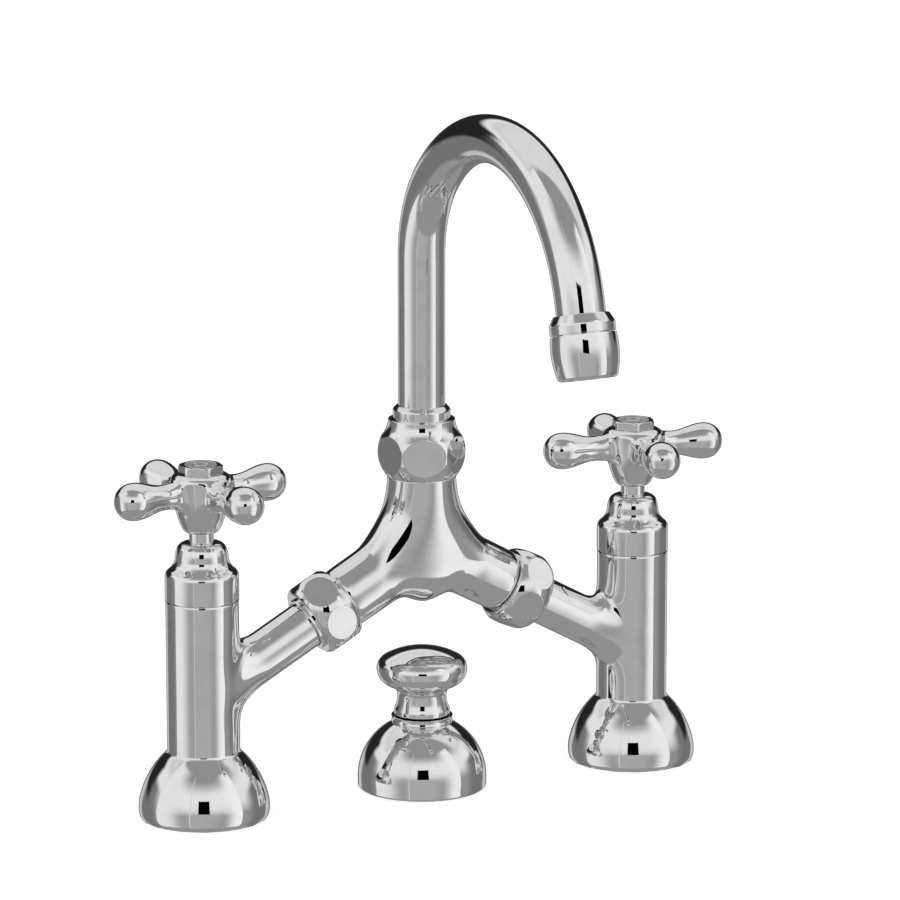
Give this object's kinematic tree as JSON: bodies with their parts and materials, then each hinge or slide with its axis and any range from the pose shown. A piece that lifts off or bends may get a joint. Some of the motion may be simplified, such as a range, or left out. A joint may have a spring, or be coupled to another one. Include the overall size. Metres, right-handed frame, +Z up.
{
  "type": "bridge mixer tap",
  "caption": "Deck-mounted chrome bridge mixer tap: cross handles on domed pillars, sloping bridge with hexagonal unions, swan-neck swivel spout with aerator, and a pop-up lift knob.",
  "frame": {"origin": "on the deck plane, midway between the two pillar axes", "axes": "+X from the hot pillar to the cold pillar, -Y to the front where the spout points, +Z up"},
  "size_m": [0.2798, 0.1956, 0.2918],
  "materials": {
    "chrome": "mirror polished chrome plate on brass",
    "brass": "machined brass",
    "steel": "plain stainless steel",
    "rubber": "black rubber",
    "ceramic": "lapped white ceramic",
    "plastic": "white low-friction plastic"
  },
  "bodies": {
    "tap": {"bridge_body": "chrome", "cold_base_gasket": "rubber", "cold_bonnet": "chrome", "cold_cartridge_body": "brass", "cold_cartridge_washer": "rubber", "cold_fixed_disc": "ceramic", "cold_inlet_riser": "brass", "cold_pillar": "chrome", "cold_seat_seal": "rubber", "cold_union_nut": "chrome", "cold_union_ring": "steel", "cold_union_washer": "rubber", "hot_base_gasket": "rubber", "hot_bonnet": "chrome", "hot_cartridge_body": "brass", "hot_cartridge_washer": "rubber", "hot_fixed_disc": "ceramic", "hot_inlet_riser": "brass", "hot_pillar": "chrome", "hot_seat_seal": "rubber", "hot_union_nut": "chrome", "hot_union_ring": "steel", "hot_union_washer": "rubber", "popup_base": "chrome", "popup_bush": "plastic", "popup_gasket": "rubber", "spout_lower_ring": "plastic", "spout_nut": "chrome", "spout_upper_ring": "plastic"},
    "hot_handle_group": {"hot_spindle": "chrome", "hot_spindle_seals": "rubber", "hot_spindle_circlip": "steel", "hot_moving_disc": "ceramic", "hot_handle": "chrome", "hot_handle_screw": "steel", "hot_index_button": "chrome"},
    "cold_handle_group": {"cold_spindle": "chrome", "cold_spindle_seals": "rubber", "cold_spindle_circlip": "steel", "cold_moving_disc": "ceramic", "cold_handle": "chrome", "cold_handle_screw": "steel", "cold_index_button": "chrome"},
    "spout": {"spout_tube": "chrome", "spout_ferrule": "chrome", "spout_seals": "rubber", "spout_end_socket": "chrome", "aerator_housing": "chrome", "aerator_insert": "plastic", "aerator_gasket": "rubber"},
    "popup_lift": {"popup_rod": "brass", "popup_knob": "chrome", "popup_set_screw": "steel"}
  },
  "joints": [
    {"name": "hot_handle_turn", "type": "hinge", "parent": "tap", "child": "hot_handle_group", "pos_m": [-0.1, 0, 0.136], "axis": [0, 0, 1], "range_deg": [0, 90]},
    {"name": "cold_handle_turn", "type": "hinge", "parent": "tap", "child": "cold_handle_group", "pos_m": [0.1, 0, 0.136], "axis": [0, 0, 1], "range_deg": [-90, 0]},
    {"name": "spout_swivel", "type": "hinge", "parent": "tap", "child": "spout", "pos_m": [0, 0, 0.15], "axis": [0, 0, 1], "continuous": true},
    {"name": "popup_lift_slide", "type": "slide", "parent": "tap", "child": "popup_lift", "axis": [0, 0, 1], "range_m": [0, 0.015]}
  ]
}
